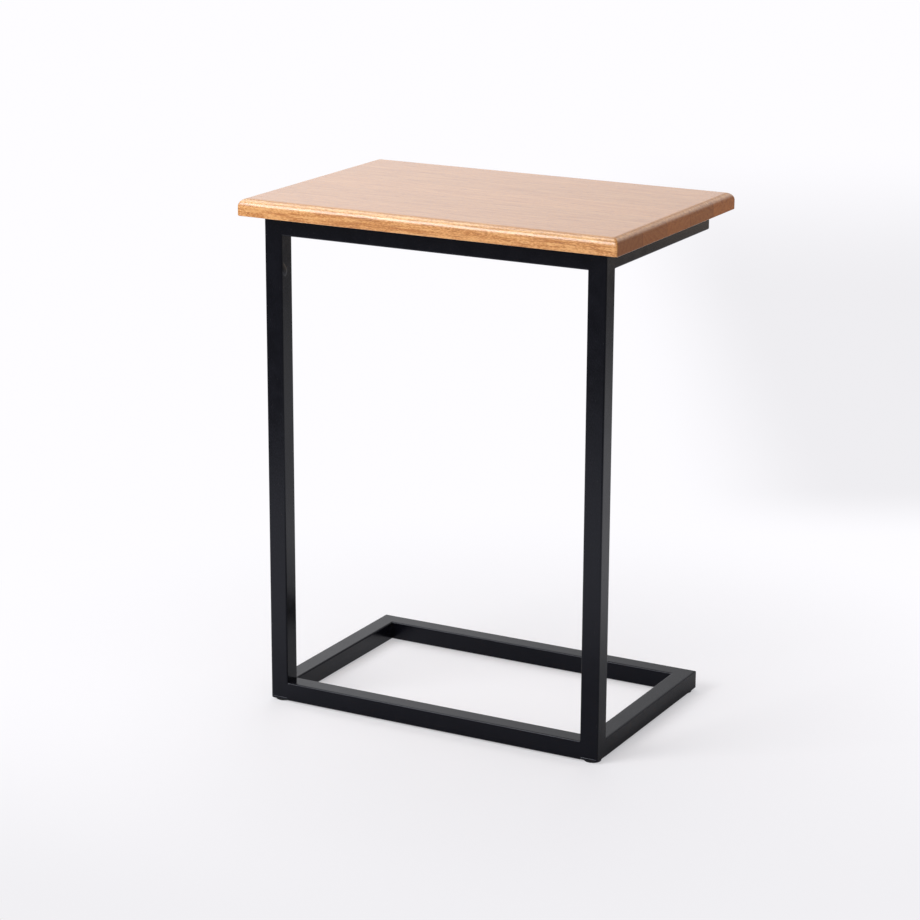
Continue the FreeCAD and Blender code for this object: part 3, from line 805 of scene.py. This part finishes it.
towards_camera = Vector((math.sin(AZIMUTH), -math.cos(AZIMUTH), 0))
across_view = Vector((math.cos(AZIMUTH), math.sin(AZIMUTH), 0))
back = towards_camera * math.cos(ELEVATION) + Vector((0, 0, math.sin(ELEVATION)))
up = back.cross(across_view)
level_right = across_view * math.cos(ROLL) + up * math.sin(ROLL)
level_up = up * math.cos(ROLL) - across_view * math.sin(ROLL)
camera_data = bpy.data.cameras.new("camera")
camera_data.sensor_width = SENSOR_WIDTH
camera_data.lens = FOCAL_PIXELS / IMAGE_PIXELS * SENSOR_WIDTH
camera = bpy.data.objects.new("camera", camera_data)
camera.matrix_world = Matrix.Translation(AIM + back * DISTANCE) @ Matrix(
    (level_right, level_up, back)).transposed().to_4x4()
bpy.context.scene.collection.objects.link(camera)
bpy.context.scene.camera = camera
bpy.context.scene.view_settings.view_transform = "Standard"


# ------------------------------------------------------------------ room
# A dim room around the table. Camera rays see it as white paper, and gloss mirrors a bright
# backdrop behind the table that is a little darker at its upper right.
ROOM_COLOR = (0.98, 0.98, 1.0, 1)
ROOM_LIGHT, ROOM_SHINE, BACKDROP_SHINE = 0.52, 0.27, 0.97
BACKDROP_EDGE = (0.45, 0.80)
FADE_DEPTH, FADE_LEFT, FADE_RIGHT, FADE_RISE = 0.65, (-0.08, 0.14), (0.20, 0.45), (0.05, 0.45)


def direct_rays(tree):
    """The light path of a tree, and 1 for a camera ray or a mirror ray, 0 for a diffuse one."""
    rays = add_node(tree, "LightPath")
    seen = calculate(tree, "MAXIMUM", rays.outputs["Is Camera Ray"], rays.outputs["Is Glossy Ray"])
    return rays, seen


def along(tree, place, direction):
    """How far a place lies along a direction."""
    return add_node(tree, "VectorMath", place, direction, operation="DOT_PRODUCT").outputs["Value"]


world = bpy.data.worlds.new("dim_room")
bpy.context.scene.world = world
world.use_nodes = True
tree = world.node_tree
rays, seen = direct_rays(tree)
sight = add_node(tree, "TexCoord").outputs["Generated"]
sideways = along(tree, sight, across_view)
faded_across = calculate(tree, "MULTIPLY", ease(tree, sideways, *FADE_LEFT, 0.0, FADE_DEPTH),
                         ease(tree, sideways, *FADE_RIGHT, 1.0, 0.0))
faded_above = ease(tree, add_node(tree, "SeparateXYZ", sight).outputs["Z"], *FADE_RISE)
faded = calculate(tree, "MULTIPLY", faded_across, faded_above)
bright = calculate(tree, "SUBTRACT", BACKDROP_SHINE, faded)
backdrop = ease(tree, along(tree, sight, -towards_camera), *BACKDROP_EDGE, ROOM_SHINE, bright)
direct = add_node(tree, "Mix", rays.outputs["Is Camera Ray"], backdrop, 1.0)
room = tree.nodes["Background"]
room.inputs["Color"].default_value = ROOM_COLOR
plug_in(tree, room.inputs["Strength"], add_node(tree, "Mix", seen, ROOM_LIGHT, direct))


# ------------------------------------------------------------------ white paper floor
# A wide roll of white paper that keeps the table's soft shadow and glows white further out. Gloss
# mirrors it with its own edges, a painted long shadow behind the table and a painted reflection of
# a warm wall far behind.
FLOOR_RADIUS = 15.0
PAPER_WHITE = (0.92, 0.915, 0.935, 1)
PAPER_BOUNCE = (0.90, 0.895, 0.91, 1)
PAPER_MIRRORED = (0.42, 0.42, 0.43, 1)
PAPER_GLOW = (0.99, 0.98, 1.01, 1)
# Metres across the view and towards the camera where the mirrored paper starts and ends.
PAPER_LEFT, PAPER_RIGHT, PAPER_NEAR = (-1.50, -1.10), (0.9, 2.8), (0.95, 1.5)
# The way that the painted shadow falls, the way across it, metres along both, and the shine there.
SHADOW_WAY, SHADOW_SIDE = (0.541, 0.841, 0), (0.841, -0.541, 0)
SHADOW_END, SHADOW_EDGE = (0.45, 0.75), (-0.11, 0.08)
SHADOW_SHINE, BESIDE_SHADOW_SHINE = 0.62, 0.90
# What the camera sees darkens at the back right and in front.
DUSK_RIGHT, DUSK_RIGHT_DEPTH = (0.30, 0.62), 0.13
DUSK_NEAREST, DUSK_FARTHEST = (-1.0, -0.7), (-4.5, -2.4)
DUSK_FRONT, DUSK_FRONT_DEPTH = (-0.1, 0.7), 0.11
# The matt paper gives way to glowing paper away from the table, sooner for gloss.
MATT_CENTRE, MATT_EDGE = (0.20, -0.12, 0), (0.25, 0.80)
MIRRORED_EDGE, MIRRORED_GLOW = (0.15, 0.85), 0.38
# A painted reflection of a warm wall: a warm glow far behind on the paper, seen only in gloss.
PAINTED_REFLECTION_WARMTH = (1.0, 0.80, 0.62, 1)
PAINTED_REFLECTION_EDGE, PAINTED_REFLECTION_GLOW = (2.65, 3.5), 0.63

floor_mesh = bpy.data.meshes.new("studio_floor")
floor_mesh.from_pydata([(x * FLOOR_RADIUS, y * FLOOR_RADIUS, 0)
                        for x, y in ((-1, -1), (1, -1), (1, 1), (-1, 1))], [], [(0, 1, 2, 3)])
floor = bpy.data.objects.new("studio_floor", floor_mesh)
bpy.context.scene.collection.objects.link(floor)
paper = bpy.data.materials.new("white_paper")
paper.use_nodes = True
tree = paper.node_tree
tree.nodes.remove(tree.nodes["Principled BSDF"])
place = object_place(tree)
sideways = along(tree, place, across_view)
towards = along(tree, place, towards_camera)
rays, seen = direct_rays(tree)
camera_ray, glossy_ray = rays.outputs["Is Camera Ray"], rays.outputs["Is Glossy Ray"]

paper_color = add_node(tree, "Mix", seen, PAPER_BOUNCE, PAPER_WHITE, data_type="RGBA")
paper_color = add_node(tree, "Mix", glossy_ray, paper_color, PAPER_MIRRORED, data_type="RGBA")
matt = add_node(tree, "BsdfDiffuse", paper_color)

on_roll = calculate(tree, "MULTIPLY", ease(tree, sideways, *PAPER_LEFT),
                    ease(tree, sideways, *PAPER_RIGHT, 1.0, 0.0))
on_paper = calculate(tree, "MULTIPLY", on_roll, ease(tree, towards, *PAPER_NEAR, 1.0, 0.0))
# Painted shadow, seen only in gloss: the paper darkens along the way the table's shadow falls
# behind it.
far_shine = ease(tree, along(tree, place, SHADOW_SIDE), *SHADOW_EDGE, SHADOW_SHINE,
                 BESIDE_SHADOW_SHINE)
shaded = ease(tree, along(tree, place, SHADOW_WAY), *SHADOW_END, 1.0, far_shine)
mirrored = calculate(tree, "MULTIPLY", ease(tree, on_paper, 0.0, 1.0, ROOM_SHINE, 1.0), shaded)

behind = calculate(tree, "MULTIPLY", ease(tree, towards, *DUSK_NEAREST, 1.0, 0.0),
                   ease(tree, towards, *DUSK_FARTHEST))
dusk = calculate(tree, "MULTIPLY", ease(tree, sideways, *DUSK_RIGHT, 0.0, DUSK_RIGHT_DEPTH),
                 behind)
dusk = calculate(tree, "ADD", dusk, ease(tree, towards, *DUSK_FRONT, 0.0, DUSK_FRONT_DEPTH))
shown = add_node(tree, "Mix", camera_ray, mirrored, calculate(tree, "SUBTRACT", 1.0, dusk))
# Painted reflection of a warm wall, in gloss only.
painted_wall_share = ease(tree, add_node(tree, "SeparateXYZ", place).outputs["Y"], *PAINTED_REFLECTION_EDGE, 0.0, PAINTED_REFLECTION_GLOW)
painted_wall_reflection = add_node(tree, "Emission", PAINTED_REFLECTION_WARMTH,
                     calculate(tree, "MULTIPLY", painted_wall_share, glossy_ray))
glow = add_node(tree, "AddShader", add_node(tree, "Emission", PAPER_GLOW, shown), painted_wall_reflection)

from_centre = add_node(tree, "VectorMath", place, MATT_CENTRE, operation="DISTANCE")
from_origin = add_node(tree, "VectorMath", place, operation="LENGTH")
glowing = add_node(tree, "Mix", glossy_ray,
                   ease(tree, from_origin.outputs["Value"], *MIRRORED_EDGE, MIRRORED_GLOW, 1.0),
                   ease(tree, from_centre.outputs["Value"], *MATT_EDGE))
blend = add_node(tree, "MixShader", calculate(tree, "MULTIPLY", glowing, seen))
plug_in(tree, blend.inputs[1], matt)
plug_in(tree, blend.inputs[2], glow)
plug_in(tree, tree.nodes["Material Output"].inputs["Surface"], blend)
floor_mesh.materials.append(paper)


# ------------------------------------------------------------------ lamps
# A soft box high at the front left is the main lamp. A wide weak screen below it fills the
# frame, a card overhead is seen only in the gloss, and a weaker box hangs high behind.
def soft_lamp(name, spot, aim, size, radiance, lights=True, shines=True):
    """A square area lamp of a given radiance that points at a place on the table.

    It lights matt surfaces, shines in glossy ones, or both.
    """
    light = bpy.data.lights.new(name, "AREA")
    light.shape = "SQUARE"
    light.size = size
    light.energy = radiance * math.pi * size ** 2
    lamp = bpy.data.objects.new(name, light)
    lamp.location = spot
    lamp.rotation_euler = (Vector(aim) - Vector(spot)).to_track_quat("-Z", "Y").to_euler()
    lamp.visible_diffuse, lamp.visible_glossy = lights, shines
    bpy.context.scene.collection.objects.link(lamp)


soft_lamp("front_left_softbox", spot=(-1.22, -1.95, 1.98), aim=(0, -0.1, 0.65), size=1.25,
          radiance=7.5)
soft_lamp("low_front_screen", spot=(-0.90, -2.60, 1.15), aim=(0, -0.1, 0.45), size=1.90,
          radiance=1.6, shines=False)
soft_lamp("overhead_card", spot=(-0.95, -0.1, 2.30), aim=(0, 0, 0.65), size=1.2,
          radiance=3.2, lights=False)
soft_lamp("back_softbox", spot=(-0.45, 1.25, 2.45), aim=(0, 0, 0.5), size=1.2,
          radiance=3.0, shines=False)
